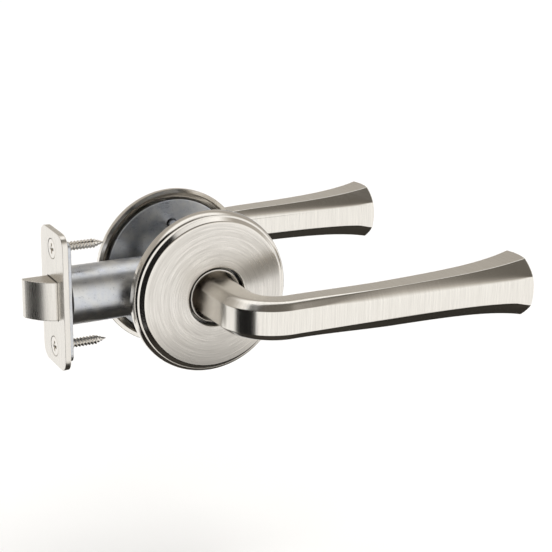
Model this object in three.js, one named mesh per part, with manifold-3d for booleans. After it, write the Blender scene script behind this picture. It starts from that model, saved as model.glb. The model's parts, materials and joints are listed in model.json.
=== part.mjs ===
// Lever handle lockset: two lever-and-rose halves on one square spindle, with a tubular spring latch between them.
// Millimetres. +X runs from the spindle towards the lever tips and away from the door's edge, -Y is the outside
// of the door, +Y the inside and +Z is up. The origin is on the spindle's axis, halfway through the door.
// Each half is designed in a half frame: X and Z as above, and +Y as the height above that face of the door.

import * as THREE from "three";
import { mergeVertices } from "three/addons/utils/BufferGeometryUtils.js";
import Module from "manifold-3d";

const manifold = await Module();
manifold.setup();

// ---------- driving dimensions ----------

const DOOR_THICKNESS = 35;
const BACKSET = 60;
const GAP = 0.3;

const LEVER_REACH = 120.6;
const END_SPHERE = { radius: 27, corner: 14.06, overrun: 5 };
const NECK_HALF_WIDTH = 8;
const BEND_RADIUS = 15;
const GRIP_HEIGHT = 43;
const GRIP_RISE = 2.4;
const GRIP_RISE_LENGTH = 45;

const ROSE_RADIUS = 34;
const ROSE_HEIGHT = 9.5;
const ROSE_HOLE_RADIUS = 12.4;
const ROSE_RIM = 1.6;

const COLLAR = { radius: 11.2, bottom: 4.5, top: 8.1, bevel: 0.4 };
const JOURNAL = { radius: 8.7, end: -1.3 };
const GROOVE = { radius: 7.6, bottom: -0.4, top: 1.2 };
const SOCKET_DEPTH = 21;

const SPINDLE_HALF = 3.95;
const SPINDLE_LENGTH = 75;
const SQUARE_HOLE_HALF = 4.3;

const PLATE = { radius: 29.5, thickness: 1.8 };
const CUP = { outer: 14, inner: 12.8, floor: -8.4, bottom: -9.6, hole: 7 };
const COVER = { radius: 14.6, bottom: 2.1, top: 3.1 };
const BUSH = { flange: 12, sleeve: 10, bore: 9, bottom: 1.2, shoulder: 3.4, top: 4.2 };
const CLIP = { inner: 7.9, outer: 10.6, bottom: -0.1, top: 0.9, mouth: 50 };
const HUB = { radius: 7.4, top: -1.6, lugBottom: -2.8, bottom: -8, lugReach: 12.2, lugHalfWidth: 2.2 };
const RETURN_SPRING = { radius: 10.2, wire: 0.7, top: -3.8, bottom: -7.3, turns: 2, legTop: -2, legReach: 12 };

const BOLT_SPACING = 38;
const POST = { radius: 4.4, bore: 2.3, stub: 2.9, stubTop: 1.6, end: -18.5, boreEnd: -4 };
const THROUGH_BOLT = { head: 3.6, headHeight: 2, shank: 1.95, end: -29 };
const SET_SCREW = { radius: 2.45, height: 14, length: 3.4, key: 1.25, keyDepth: 1.8 };

const FACEPLATE = { height: 57, width: 25.4, thickness: 2.4, corner: 6.35 };
const BACKPLATE = { height: 50, width: 22, thickness: 1.5, corner: 4 };
const LATCH_SCREW = { spacing: 41.3, head: 4, shank: 2, length: 22, headDepth: 2.1 };
const CASE = { outer: 11.9, inner: 10.9, end: -16.5, wall: 1.5, rodHole: 3 };
const CHEEK = { inner: 5.4, outer: 6.6, halfHeight: 9.8, end: 10.5, hole: 7.6, bridge: 1.5, bridgeTop: 7 };
const BOLT = { throw: 11, halfHeight: 8, halfWidth: 5.7, back: -44, noseWidth: 2, rod: 2.5, rodEnd: -24 };
const ROD_COLLAR = { radius: 4, start: -41.7, end: -40.7 };
const YOKE = { front: -43.6, back: -42.1, bottom: -6, barInner: 2.5, halfWidth: 4.2, barBottom: 8.4, barTop: 9.6 };
const HOOK = { front: -2.6, back: -0.5, top: 11.6 };
const CAM = { flange: 8.1, flangeHalf: 5.1, journal: 7.3, journalHalf: 7.2, armHalf: 2, armReach: 10.9, tip: 1.2 };
const CAM_ARM_ANGLE = 27.5;
const LATCH_SPRING = { radius: 4.4, wire: 0.45, turns: 7, stepsPerTurn: 10 };

const FINE_SEGMENTS = 40;
const SEGMENTS = 28;
const SMALL_SEGMENTS = 20;

// ---------- materials ----------

const finishes = {
  satinNickel: { color: 0xc9c3ba, roughness: 0.32, metalness: 1 },
  zincSteel: { color: 0xb4b8bc, roughness: 0.38, metalness: 1 },
  springSteel: { color: 0x55565a, roughness: 0.3, metalness: 1 },
  blackSteel: { color: 0x2a2a2c, roughness: 0.5, metalness: 1 },
  nylon: { color: 0xe9e6dc, roughness: 0.55, metalness: 0 },
};

const group = new THREE.Group();

function addPiece(name, geometry, finish) {
  const mesh = new THREE.Mesh(geometry, new THREE.MeshStandardMaterial(finishes[finish]));
  mesh.name = name;
  group.add(mesh);
}

// ---------- geometry helpers ----------

function closed(geometry) {
  const bare = geometry.clone();
  bare.deleteAttribute("normal");
  bare.deleteAttribute("uv");
  return mergeVertices(bare, 1e-4);
}

function toSolid(geometry) {
  const mesh = closed(geometry);
  const vertProperties = new Float32Array(mesh.attributes.position.array);
  const triVerts = new Uint32Array(mesh.index.array);
  return new manifold.Manifold(new manifold.Mesh({ numProp: 3, vertProperties, triVerts }));
}

function toGeometry(solid) {
  const mesh = solid.getMesh();
  const geometry = new THREE.BufferGeometry();
  geometry.setAttribute("position", new THREE.BufferAttribute(new Float32Array(mesh.vertProperties), 3));
  geometry.setIndex(new THREE.BufferAttribute(new Uint32Array(mesh.triVerts), 1));
  return geometry;
}

function join(...geometries) {
  return toGeometry(geometries.map(toSolid).reduce((whole, piece) => whole.add(piece)));
}

function cut(geometry, ...tools) {
  return toGeometry(tools.map(toSolid).reduce((whole, tool) => whole.subtract(tool), toSolid(geometry)));
}

// A profile of [radius, height] points turned about Y. It runs anticlockwise, with the radius to the right.
function turned(profile, segments = SEGMENTS) {
  const points = profile.map((point) => (point.isVector2 ? point : new THREE.Vector2(...point)));
  const isOnAxis = points[0].x === 0;
  const outline = isOnAxis ? points : [...points, points[0].clone()];
  return closed(new THREE.LatheGeometry(outline, segments));
}

// A cylinder or cone about Y between two heights.
function rod(radius, bottom, top, segments = SMALL_SEGMENTS, topRadius = radius) {
  const geometry = new THREE.CylinderGeometry(topRadius, radius, top - bottom, segments);
  return geometry.translate(0, (bottom + top) / 2, 0);
}

function block([x0, x1], [y0, y1], [z0, z1]) {
  const geometry = new THREE.BoxGeometry(x1 - x0, y1 - y0, z1 - z0);
  return geometry.translate((x0 + x1) / 2, (y0 + y1) / 2, (z0 + z1) / 2);
}

// Turns a piece made about Y so that it lies along X.
const alongX = (geometry) => geometry.rotateZ(-Math.PI / 2);

// A flat outline in X and Z, as thick as bottom to top along Y.
function plateAcrossY(shape, bottom, top, curveSegments = 8) {
  const geometry = new THREE.ExtrudeGeometry(shape, { depth: top - bottom, bevelEnabled: false, curveSegments });
  return geometry.rotateX(Math.PI / 2).translate(0, top, 0);
}

// A flat outline in Y and Z, as thick as start to end along X.
function plateAcrossX(shape, start, end, curveSegments = 6) {
  const geometry = new THREE.ExtrudeGeometry(shape, { depth: end - start, bevelEnabled: false, curveSegments });
  return geometry.rotateY(Math.PI / 2).rotateX(Math.PI / 2).translate(start, 0, 0);
}

function roundedRectangle(width, height, corner) {
  const x = width / 2;
  const y = height / 2;
  const shape = new THREE.Shape();
  shape.moveTo(-x + corner, -y);
  shape.lineTo(x - corner, -y);
  shape.absarc(x - corner, -y + corner, corner, -Math.PI / 2, 0);
  shape.lineTo(x, y - corner);
  shape.absarc(x - corner, y - corner, corner, 0, Math.PI / 2);
  shape.lineTo(-x + corner, y);
  shape.absarc(-x + corner, y - corner, corner, Math.PI / 2, Math.PI);
  shape.lineTo(-x, -y + corner);
  shape.absarc(-x + corner, -y + corner, corner, Math.PI, 1.5 * Math.PI);
  return shape;
}

function squareShape(half) {
  const path = new THREE.Path();
  path.moveTo(-half, -half);
  path.lineTo(half, -half);
  path.lineTo(half, half);
  path.lineTo(-half, half);
  path.closePath();
  return path;
}

// A closed skin over a row of rings, each with the same number of points, and an apex closing each end.
function loft(rings, startApex, endApex) {
  const count = rings[0].length;
  const points = [startApex, ...rings.flat(), endApex];
  const index = [];
  for (let side = 0; side < count; side++) {
    const next = (side + 1) % count;
    index.push(0, 1 + next, 1 + side);
    for (let ring = 0; ring < rings.length - 1; ring++) {
      const near = 1 + ring * count;
      const far = near + count;
      index.push(near + side, near + next, far + next, near + side, far + next, far + side);
    }
    const last = 1 + (rings.length - 1) * count;
    index.push(points.length - 1, last + side, last + next);
  }
  const geometry = new THREE.BufferGeometry().setFromPoints(points);
  geometry.setIndex(index);
  return geometry;
}

// A round wire along a smooth path.
function wire(points, radius, steps) {
  const section = new THREE.Shape();
  section.absarc(0, 0, radius, 0, 2 * Math.PI);
  const extrudePath = new THREE.CatmullRomCurve3(points);
  return closed(new THREE.ExtrudeGeometry(section, { steps, curveSegments: 3, extrudePath }));
}

function mirroredAcrossY(geometry) {
  const mirrored = closed(geometry).scale(1, -1, 1);
  const index = mirrored.index.array;
  for (let i = 0; i < index.length; i += 3) {
    [index[i], index[i + 1]] = [index[i + 1], index[i]];
  }
  return mirrored;
}

// Puts a piece made in the half frame on its side of the door.
function onDoor(geometry, side) {
  const half = DOOR_THICKNESS / 2;
  return side === "inside" ? geometry.translate(0, half, 0) : mirroredAcrossY(geometry).translate(0, -half, 0);
}

// ---------- lever ----------

// An octagonal section: half its height and depth, and half the width of its front and top flats.
function octagon(centre, outward, { height, depth, front, top }) {
  const corners = [
    [depth, front], [top, height], [-top, height], [-depth, front],
    [-depth, -front], [-top, -height], [top, -height], [depth, -front],
  ];
  return corners.map(([out, up]) => centre.clone().addScaledVector(outward, out).add(new THREE.Vector3(0, 0, up)));
}

const NECK_SECTION = { height: NECK_HALF_WIDTH, depth: NECK_HALF_WIDTH, front: 4.9, top: 4.4 };

// The grip opens gently along its whole length, then like a trumpet near the end.
function gripSection(x) {
  const along = (x - BEND_RADIUS) / (LEVER_REACH - BEND_RADIUS);
  const flare = (start, gentle, steep, power) => start + gentle * along ** 2 + steep * along ** power;
  return {
    height: flare(8, 1.4, 2.9, 7),
    depth: flare(6.5, 3.2, 3.2, 6),
    front: flare(4.85, 0.35, 1.15, 8),
    top: flare(3.9, 1.2, 1.05, 8),
  };
}

function gripHeight(x) {
  return GRIP_HEIGHT + GRIP_RISE * THREE.MathUtils.smoothstep(x, BEND_RADIUS, BEND_RADIUS + GRIP_RISE_LENGTH);
}

function blendSections(from, to, share) {
  const keys = Object.keys(from);
  return Object.fromEntries(keys.map((key) => [key, THREE.MathUtils.lerp(from[key], to[key], share)]));
}

function leverBar() {
  const bendSteps = 6;
  const gripSteps = 13;
  const bendStart = GRIP_HEIGHT - BEND_RADIUS;
  const gripStart = gripSection(BEND_RADIUS);
  const gripEnd = LEVER_REACH + END_SPHERE.overrun;
  const neckBottom = COLLAR.top - 1;
  const left = new THREE.Vector3(-1, 0, 0);
  const outward = new THREE.Vector3(0, 1, 0);
  const rings = [octagon(new THREE.Vector3(0, neckBottom, 0), left, NECK_SECTION)];
  for (let step = 0; step <= bendSteps; step++) {
    const share = step / bendSteps;
    const turn = (share * Math.PI) / 2;
    const away = new THREE.Vector3(-Math.cos(turn), Math.sin(turn), 0);
    const centre = new THREE.Vector3(BEND_RADIUS, bendStart, 0).addScaledVector(away, BEND_RADIUS);
    rings.push(octagon(centre, away, blendSections(NECK_SECTION, gripStart, share)));
  }
  for (let step = 1; step <= gripSteps; step++) {
    const share = 1 - (1 - step / gripSteps) ** 1.4;
    const x = THREE.MathUtils.lerp(BEND_RADIUS, gripEnd, share);
    rings.push(octagon(new THREE.Vector3(x, gripHeight(x), 0), outward, gripSection(x)));
  }
  return loft(rings, new THREE.Vector3(0, neckBottom, 0), new THREE.Vector3(gripEnd, gripHeight(gripEnd), 0));
}

// What is ground off the end of the grip, to leave it domed: its corners end at the lever's reach.
function endGrinding() {
  const { radius, corner, overrun } = END_SPHERE;
  const centre = LEVER_REACH - Math.sqrt(radius ** 2 - corner ** 2);
  const arcSteps = 8;
  const widest = (40 * Math.PI) / 180;
  const profile = [];
  for (let step = 0; step <= arcSteps; step++) {
    const angle = (widest * step) / arcSteps;
    profile.push([radius * Math.sin(angle), radius * Math.cos(angle)]);
  }
  const outer = radius * Math.sin(widest) + 5;
  profile.push([outer, radius * Math.cos(widest)], [outer, radius + overrun], [0, radius + overrun]);
  return alongX(turned(profile, FINE_SEGMENTS)).translate(centre, gripHeight(LEVER_REACH), 0);
}

function lever() {
  const foot = turned([
    [0, JOURNAL.end], [JOURNAL.radius, JOURNAL.end], [JOURNAL.radius, GROOVE.bottom], [GROOVE.radius, GROOVE.bottom],
    [GROOVE.radius, GROOVE.top], [JOURNAL.radius, GROOVE.top], [JOURNAL.radius, COLLAR.bottom],
    [COLLAR.radius, COLLAR.bottom], [COLLAR.radius, COLLAR.top - COLLAR.bevel],
    [COLLAR.radius - COLLAR.bevel, COLLAR.top], [0, COLLAR.top],
  ]);
  const across = [-SQUARE_HOLE_HALF, SQUARE_HOLE_HALF];
  const socket = block(across, [JOURNAL.end - 1, SOCKET_DEPTH], across);
  const screwHole = rod(SET_SCREW.radius + GAP, -NECK_HALF_WIDTH - 1, 0).rotateX(Math.PI / 2);
  screwHole.translate(0, SET_SCREW.height, 0);
  return cut(join(foot, leverBar()), socket, screwHole, endGrinding());
}

function setScrew() {
  const bottom = -(SPINDLE_HALF + 0.35) - SET_SCREW.length;
  const body = rod(SET_SCREW.radius, bottom, bottom + SET_SCREW.length);
  const key = rod(SET_SCREW.key / Math.cos(Math.PI / 6), bottom - 1, bottom + SET_SCREW.keyDepth, 6);
  return cut(body, key).rotateX(Math.PI / 2).translate(0, SET_SCREW.height, 0);
}

// ---------- rose and what it hides ----------

function rose() {
  const outline = new THREE.Path();
  outline.moveTo(ROSE_RADIUS - ROSE_RIM, 0);
  outline.lineTo(ROSE_RADIUS, 0);
  outline.lineTo(ROSE_RADIUS, 0.8);
  outline.quadraticCurveTo(33.7, 3.6, 31.7, 4.8);
  outline.quadraticCurveTo(31.4, 6.5, 30.1, 7);
  outline.quadraticCurveTo(21, 9, ROSE_HOLE_RADIUS + 0.5, ROSE_HEIGHT);
  outline.lineTo(ROSE_HOLE_RADIUS, ROSE_HEIGHT - 0.4);
  outline.lineTo(ROSE_HOLE_RADIUS, 8);
  outline.lineTo(24, 7.1);
  outline.lineTo(28.6, 5.5);
  outline.lineTo(30.4, 4);
  outline.lineTo(31.9, 2.4);
  return turned(outline.getPoints(3), FINE_SEGMENTS);
}

function mountingPlate(boltHoleRadius) {
  const plate = turned([
    [CUP.hole, CUP.bottom], [CUP.outer, CUP.bottom], [CUP.outer, 0], [PLATE.radius, 0],
    [PLATE.radius, PLATE.thickness], [CUP.inner, PLATE.thickness], [CUP.inner, CUP.floor], [CUP.hole, CUP.floor],
  ]);
  const holes = [-1, 1].map((side) => rod(boltHoleRadius, -1, 3).translate(0, 0, (side * BOLT_SPACING) / 2));
  return cut(plate, ...holes);
}

function springCover() {
  const bore = BUSH.sleeve + GAP;
  return turned([[bore, COVER.bottom], [COVER.radius, COVER.bottom], [COVER.radius, COVER.top], [bore, COVER.top]]);
}

function bush() {
  return turned([
    [BUSH.bore, BUSH.bottom], [BUSH.sleeve, BUSH.bottom], [BUSH.sleeve, BUSH.shoulder],
    [BUSH.flange, BUSH.shoulder], [BUSH.flange, BUSH.top], [BUSH.bore, BUSH.top],
  ]);
}

function retainingRing() {
  const halfMouth = THREE.MathUtils.degToRad(CLIP.mouth / 2);
  const shape = new THREE.Shape();
  shape.absarc(0, 0, CLIP.outer, halfMouth, 2 * Math.PI - halfMouth, false);
  shape.absarc(0, 0, CLIP.inner, 2 * Math.PI - halfMouth, halfMouth, true);
  return plateAcrossY(shape, CLIP.bottom, CLIP.top, SMALL_SEGMENTS);
}

function driveHub() {
  const shape = new THREE.Shape();
  shape.absarc(0, 0, HUB.radius, 0, 2 * Math.PI);
  shape.holes.push(squareShape(SQUARE_HOLE_HALF));
  const barrel = plateAcrossY(shape, HUB.bottom, HUB.top, 14);
  const lugStart = HUB.radius - 0.8;
  const halfWidth = HUB.lugHalfWidth;
  const lug = block([-halfWidth, halfWidth], [HUB.lugBottom, HUB.top], [lugStart, HUB.lugReach]);
  return join(barrel, lug);
}

// Two turns, with one leg standing beside the hub's lug and the other out to the wall of the cup.
function returnSpring() {
  const { radius, wire: wireRadius, top, bottom, turns, legTop, legReach } = RETURN_SPRING;
  const lugSide = Math.asin((HUB.lugHalfWidth + wireRadius + GAP) / radius);
  const startAngle = Math.PI / 2 - lugSide;
  const around = (angle, reach, height) =>
    new THREE.Vector3(reach * Math.cos(angle), height, reach * Math.sin(angle));
  const pointsPerTurn = 16;
  const count = turns * pointsPerTurn;
  const points = [around(startAngle, radius, legTop)];
  for (let i = 0; i <= count; i++) {
    const angle = startAngle - (i / pointsPerTurn) * 2 * Math.PI;
    points.push(around(angle, radius, THREE.MathUtils.lerp(top, bottom, i / count)));
  }
  const endAngle = startAngle - (turns + 0.06) * 2 * Math.PI;
  points.push(around(endAngle, legReach - wireRadius, bottom));
  return wire(points, wireRadius, 56);
}

function post(side) {
  const sleeve = turned([
    [0, POST.boreEnd], [POST.bore, POST.boreEnd], [POST.bore, POST.end], [POST.radius, POST.end],
    [POST.radius, -GAP], [POST.stub, -GAP], [POST.stub, POST.stubTop], [0, POST.stubTop],
  ], SMALL_SEGMENTS);
  return sleeve.translate(0, 0, (side * BOLT_SPACING) / 2);
}

// A cross recess for a screwdriver, cut downwards from the given height.
function crossRecess(top, depth, length) {
  const half = length / 2;
  const thin = 0.5;
  return [
    block([-half, half], [top - depth, top + 1], [-thin, thin]),
    block([-thin, thin], [top - depth, top + 1], [-half, half]),
  ];
}

function throughBolt(side) {
  const { head, headHeight, shank, end } = THROUGH_BOLT;
  const seat = PLATE.thickness + GAP;
  const top = seat + headHeight;
  const body = turned([[0, end], [shank, end], [shank, seat], [head, seat], [head, top - 0.8], [head - 1, top], [0, top]],
    SMALL_SEGMENTS);
  return cut(body, ...crossRecess(top, 1.1, 4)).translate(0, 0, (side * BOLT_SPACING) / 2);
}

// ---------- latch ----------

const faceBack = -BACKSET + FACEPLATE.thickness;
const backplateBack = faceBack + GAP + BACKPLATE.thickness;

function boltWindow(start, end) {
  const y = BOLT.halfWidth + 0.35;
  const z = BOLT.halfHeight + 0.35;
  return block([start, end], [-y, y], [-z, z]);
}

function latchScrewHoles(radius, start, end) {
  return [-1, 1].map((side) => alongX(rod(radius, start, end)).translate(0, 0, (side * LATCH_SCREW.spacing) / 2));
}

function latchFaceplate() {
  const plate = plateAcrossX(roundedRectangle(FACEPLATE.width, FACEPLATE.height, FACEPLATE.corner), -BACKSET, faceBack);
  const clear = LATCH_SCREW.shank + GAP + 0.1;
  const sink = [-1, 1].map((side) => {
    const cone = rod(LATCH_SCREW.head + GAP + 1, -BACKSET - 1, -BACKSET + LATCH_SCREW.headDepth, SMALL_SEGMENTS, clear);
    return alongX(cone).translate(0, 0, (side * LATCH_SCREW.spacing) / 2);
  });
  const holes = latchScrewHoles(clear, -BACKSET - 1, faceBack + 1);
  return cut(plate, boltWindow(-BACKSET - 1, faceBack + 1), ...sink, ...holes);
}

function latchBackplate() {
  const start = faceBack + GAP;
  const plate = plateAcrossX(roundedRectangle(BACKPLATE.width, BACKPLATE.height, BACKPLATE.corner), start, backplateBack);
  const holes = latchScrewHoles(LATCH_SCREW.shank + GAP + 0.1, start - 1, backplateBack + 1);
  return cut(plate, boltWindow(start - 1, backplateBack + 1), ...holes);
}

function latchScrew(side) {
  const { head, shank, length, headDepth, spacing } = LATCH_SCREW;
  const start = -BACKSET;
  const neck = start + headDepth;
  const tip = start + length;
  const body = turned([[0, start], [head, start], [shank, neck], [shank, tip - 4], [0, tip]].reverse().map(
    ([radius, x]) => [radius, -x]), SMALL_SEGMENTS);
  const drive = crossRecess(-start, 1.2, 4);
  return alongX(cut(body, ...drive).rotateX(Math.PI)).translate(0, 0, (side * spacing) / 2);
}

// A round tube with an end wall, and two flat cheeks that carry the cam.
function latchCase() {
  const front = backplateBack + GAP;
  const wallStart = CASE.end - CASE.wall;
  const tube = alongX(turned([
    [CASE.inner, front], [CASE.outer, front], [CASE.outer, CASE.end], [CASE.rodHole, CASE.end],
    [CASE.rodHole, wallStart], [CASE.inner, wallStart],
  ]));
  const { inner, outer, halfHeight, end, hole, bridge, bridgeTop } = CHEEK;
  const cheeks = [-1, 1].map((side) => {
    const y = [side * inner, side * outer].sort((a, b) => a - b);
    return block([CASE.end - 1, end], y, [-halfHeight, halfHeight]);
  });
  const endBridge = block([end - bridge, end], [-outer, outer], [-halfHeight, bridgeTop]);
  const yokeSlot = block([wallStart - 1, CASE.end + 1], [-YOKE.halfWidth - 0.5, YOKE.halfWidth + 0.5],
    [YOKE.barBottom - 0.5, YOKE.barTop + 0.6]);
  return cut(join(tube, ...cheeks, endBridge), yokeSlot, rod(hole, -outer - 1, outer + 1, SEGMENTS));
}

// The head is bevelled on the side that meets the strike as the door closes.
function latchBolt() {
  const nose = -BACKSET - BOLT.throw;
  const { halfWidth, halfHeight, back, noseWidth, rod: rodRadius, rodEnd } = BOLT;
  const outline = new THREE.Shape();
  outline.moveTo(back, -halfWidth);
  outline.lineTo(back, halfWidth);
  outline.lineTo(nose, halfWidth);
  outline.lineTo(nose, halfWidth - noseWidth);
  outline.quadraticCurveTo(nose + 4, -halfWidth * 0.6, -BACKSET - 0.5, -halfWidth);
  const head = new THREE.ExtrudeGeometry(outline, { depth: 2 * halfHeight, bevelEnabled: false, curveSegments: 6 });
  head.translate(0, 0, -halfHeight);
  const tail = alongX(turned([
    [0, back - 1], [rodRadius, back - 1], [rodRadius, ROD_COLLAR.start], [ROD_COLLAR.radius, ROD_COLLAR.start],
    [ROD_COLLAR.radius, ROD_COLLAR.end], [rodRadius, ROD_COLLAR.end], [rodRadius, rodEnd], [0, rodEnd],
  ], SMALL_SEGMENTS));
  return join(head, tail);
}

// The yoke is caught between the bolt's head and its collar, and its hook stands in front of the cam's arm.
function retractorYoke() {
  const { front, back, bottom, barInner, halfWidth, barBottom, barTop } = YOKE;
  const across = [-halfWidth, halfWidth];
  const plate = block([front, back], across, [bottom, barTop]);
  const rodHole = alongX(rod(BOLT.rod + 0.4, front - 1, back + 1));
  const bars = block([front, HOOK.back], across, [barBottom, barTop]);
  const window = block([back, HOOK.front], [-barInner, barInner], [barBottom - 1, barTop + 1]);
  const hook = block([HOOK.front, HOOK.back], across, [barBottom, HOOK.top]);
  return cut(join(plate, bars, hook), rodHole, window);
}

function latchCam() {
  const angle = THREE.MathUtils.degToRad(90 + CAM_ARM_ANGLE);
  const { flange, flangeHalf, journal, journalHalf, armHalf, armReach, tip } = CAM;
  const barrel = join(rod(flange, -flangeHalf, flangeHalf, SEGMENTS), rod(journal, -journalHalf, journalHalf, SEGMENTS));
  const arm = block([0, armReach], [-armHalf, armHalf], [-tip, tip]).rotateY(-angle);
  const end = rod(tip, -armHalf, armHalf).translate(armReach, 0, 0).rotateY(-angle);
  const across = [-SQUARE_HOLE_HALF, SQUARE_HOLE_HALF];
  return cut(join(barrel, arm, end), block(across, [-journalHalf - 1, journalHalf + 1], across));
}

function latchSpring() {
  const { radius, wire: wireRadius, turns, stepsPerTurn } = LATCH_SPRING;
  const start = ROD_COLLAR.end + GAP + wireRadius;
  const end = CASE.end - CASE.wall - GAP - wireRadius;
  const count = turns * stepsPerTurn;
  const points = [];
  for (let i = 0; i <= count; i++) {
    const angle = (i / count) * turns * 2 * Math.PI;
    const x = THREE.MathUtils.lerp(start, end, i / count);
    points.push(new THREE.Vector3(x, radius * Math.cos(angle), radius * Math.sin(angle)));
  }
  return wire(points, wireRadius, count);
}

// ---------- assembly ----------

for (const side of ["outside", "inside"]) {
  const boltHole = side === "outside" ? POST.stub + GAP : THROUGH_BOLT.shank + 0.45;
  const half = {
    lever: [lever(), "satinNickel"],
    rose: [rose(), "satinNickel"],
    mounting_plate: [mountingPlate(boltHole), "zincSteel"],
    spring_cover: [springCover(), "zincSteel"],
    neck_bush: [bush(), "nylon"],
    retaining_ring: [retainingRing(), "springSteel"],
    drive_hub: [driveHub(), "zincSteel"],
    return_spring: [returnSpring(), "springSteel"],
    set_screw: [setScrew(), "blackSteel"],
  };
  for (const [name, [geometry, finish]] of Object.entries(half)) {
    addPiece(`${side}_${name}`, onDoor(geometry, side), finish);
  }
}

for (const [place, side] of [["upper", 1], ["lower", -1]]) {
  addPiece(`${place}_post`, onDoor(post(side), "outside"), "zincSteel");
  addPiece(`${place}_through_bolt`, onDoor(throughBolt(side), "inside"), "zincSteel");
  addPiece(`${place}_latch_screw`, latchScrew(side), "satinNickel");
}

const spindleSide = [-SPINDLE_HALF, SPINDLE_HALF];
addPiece("spindle", block(spindleSide, [-SPINDLE_LENGTH / 2, SPINDLE_LENGTH / 2], spindleSide), "zincSteel");
addPiece("latch_faceplate", latchFaceplate(), "satinNickel");
addPiece("latch_backplate", latchBackplate(), "zincSteel");
addPiece("latch_case", latchCase(), "zincSteel");
addPiece("latch_bolt", latchBolt(), "satinNickel");
addPiece("latch_yoke", retractorYoke(), "zincSteel");
addPiece("latch_cam", latchCam(), "zincSteel");
addPiece("latch_spring", latchSpring(), "springSteel");

export default group;
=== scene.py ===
"""The looks of a lever handle lockset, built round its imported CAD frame.

Every piece is drawn in millimetres and scaled to metres at the end. A piece of one half is drawn in the
half frame: X and Z as in the row frame, and Y as the height above that face of the door. Latch pieces use
the row frame.
"""

import json
import math

import bmesh
import bpy
from mathutils import Matrix, Vector

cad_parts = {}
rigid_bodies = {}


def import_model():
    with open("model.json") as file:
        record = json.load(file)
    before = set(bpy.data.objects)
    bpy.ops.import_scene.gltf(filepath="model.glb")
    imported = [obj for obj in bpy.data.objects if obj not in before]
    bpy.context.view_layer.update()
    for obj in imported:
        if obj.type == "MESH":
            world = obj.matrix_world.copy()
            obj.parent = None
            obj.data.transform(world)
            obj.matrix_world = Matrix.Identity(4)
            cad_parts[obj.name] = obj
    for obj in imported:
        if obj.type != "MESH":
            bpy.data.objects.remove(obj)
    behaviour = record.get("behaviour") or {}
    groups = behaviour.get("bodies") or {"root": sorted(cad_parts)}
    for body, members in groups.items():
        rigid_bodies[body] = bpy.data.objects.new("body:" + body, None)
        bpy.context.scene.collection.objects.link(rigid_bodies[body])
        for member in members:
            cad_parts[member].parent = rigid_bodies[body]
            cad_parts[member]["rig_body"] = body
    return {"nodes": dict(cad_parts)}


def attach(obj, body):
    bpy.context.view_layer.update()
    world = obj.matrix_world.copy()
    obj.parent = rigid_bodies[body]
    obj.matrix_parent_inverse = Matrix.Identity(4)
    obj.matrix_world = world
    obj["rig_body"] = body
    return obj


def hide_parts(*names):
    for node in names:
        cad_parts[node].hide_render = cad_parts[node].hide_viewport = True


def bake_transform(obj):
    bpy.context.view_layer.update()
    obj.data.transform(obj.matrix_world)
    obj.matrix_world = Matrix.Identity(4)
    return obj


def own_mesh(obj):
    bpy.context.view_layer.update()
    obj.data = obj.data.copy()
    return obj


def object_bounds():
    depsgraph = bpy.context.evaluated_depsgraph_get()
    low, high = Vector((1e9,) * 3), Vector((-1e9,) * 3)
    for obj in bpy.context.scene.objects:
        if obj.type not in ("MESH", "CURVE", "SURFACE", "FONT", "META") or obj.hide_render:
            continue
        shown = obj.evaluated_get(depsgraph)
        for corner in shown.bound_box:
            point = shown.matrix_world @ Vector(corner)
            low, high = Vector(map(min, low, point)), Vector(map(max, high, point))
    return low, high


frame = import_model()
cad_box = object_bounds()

SCENE = bpy.context.scene
MM = 0.001

# ---------- sizes in millimetres ----------


class Sizes:
    """The sizes of one thing, by name."""

    def __init__(self, **sizes):
        for name, size in sizes.items():
            setattr(self, name, size)


DOOR_HALF = 17.5
BACKSET = 60
GAP = 0.3

LEVER_REACH = 120.6
END_SPHERE = Sizes(radius=27, corner=14.06, edge=0.35)
BEND_RADIUS = 15
GRIP_HEIGHT = 43
GRIP_RISE = 2.4
GRIP_RISE_LENGTH = 45
BEND_START = GRIP_HEIGHT - BEND_RADIUS
NECK_SECTION = {"height": 8, "depth": 8, "front": 4.9, "top": 4.4}

COLLAR = Sizes(radius=11.2, bottom=4.5, top=8.1, bevel=0.4)
FLARE = Sizes(radius=10.6, fade=3.4)
JOURNAL = Sizes(radius=8.7, end=-1.3)
GROOVE = Sizes(radius=7.6, bottom=-0.4, top=1.2)
SOCKET_DEPTH = 21
SQUARE_HOLE_HALF = 4.3
SCREW_HOLE = Sizes(radius=2.75, height=14)

ROSE = Sizes(radius=34, height=9.5, hole=12.4, rim=1.6)
DISC_EDGE = (29.95, 7.13)

SPINDLE_HALF = 3.95
SPINDLE_LENGTH = 75
PLATE = Sizes(radius=29.5, thickness=1.8)
COINED_RING = Sizes(outer=26.6, inner=24.8, slope=0.5, depth=0.4)
CUP = Sizes(outer=14, inner=12.8, floor=-8.4, bottom=-9.6, hole=7)
COVER = Sizes(radius=14.6, bottom=2.1, top=3.1)
BUSH = Sizes(flange=12, sleeve=10, bore=9, bottom=1.2, shoulder=3.4, top=4.2)
CLIP = Sizes(inner=7.9, outer=10.6, bottom=-0.1, top=0.9, mouth=50)
HUB = Sizes(radius=7.4, top=-1.6, bottom=-8)
LUG = Sizes(bottom=-2.8, reach=12.2, half_width=2.2)
RETURN_SPRING = Sizes(radius=10.2, wire=0.7, top=-3.8, bottom=-7.3, turns=2, leg_top=-2, leg_reach=12)

BOLT_SPACING = 38
POST = Sizes(radius=4.4, bore=2.3, bore_end=-4, end=-18.5, thread=0.22, pitch=0.7)
STUB = Sizes(radius=2.9, top=1.6)
THROUGH_BOLT = Sizes(head=3.6, head_height=2, shank=1.95, end=-29, thread_end=-6, thread=0.3, pitch=0.7)
SET_SCREW = Sizes(shank=2.45, height=14, length=3.4, key=1.25, depth=1.6, thread=0.32, pitch=0.8)

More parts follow.
